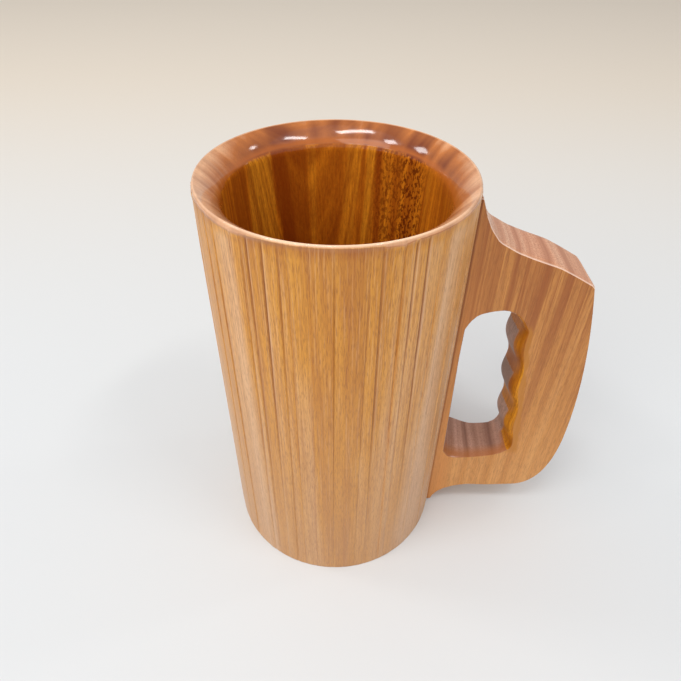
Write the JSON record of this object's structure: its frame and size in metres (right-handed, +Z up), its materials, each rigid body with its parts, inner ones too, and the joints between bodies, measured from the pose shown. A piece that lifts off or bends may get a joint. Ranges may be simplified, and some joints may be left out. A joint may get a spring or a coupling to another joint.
{
  "type": "wooden beer mug",
  "caption": "Straight-sided wooden mug with a hand-planed outside, a thick rounded lip and a flat plank handle with finger hollows round a closed hand opening.",
  "frame": {"origin": "centre of the underside, on the axis of the bore", "axes": "+Z up along the bore, +X towards the handle"},
  "size_m": [0.1441, 0.0901, 0.1625],
  "materials": {
    "planed_body_wood": "teak-like wood, planed and waxed outside, clear gloss lacquer on the lip and inside",
    "base_disc_wood": "teak-like wood, turned, clear gloss lacquer",
    "handle_wood": "teak-like wood, sanded plank with a satin clear finish",
    "dowel_wood": "plain pale hardwood dowel, unfinished"
  },
  "bodies": {
    "root": {"body": "planed_body_wood", "base_disc": "base_disc_wood", "handle": "handle_wood", "upper_dowel": "dowel_wood", "lower_dowel": "dowel_wood"}
  },
  "joints": []
}
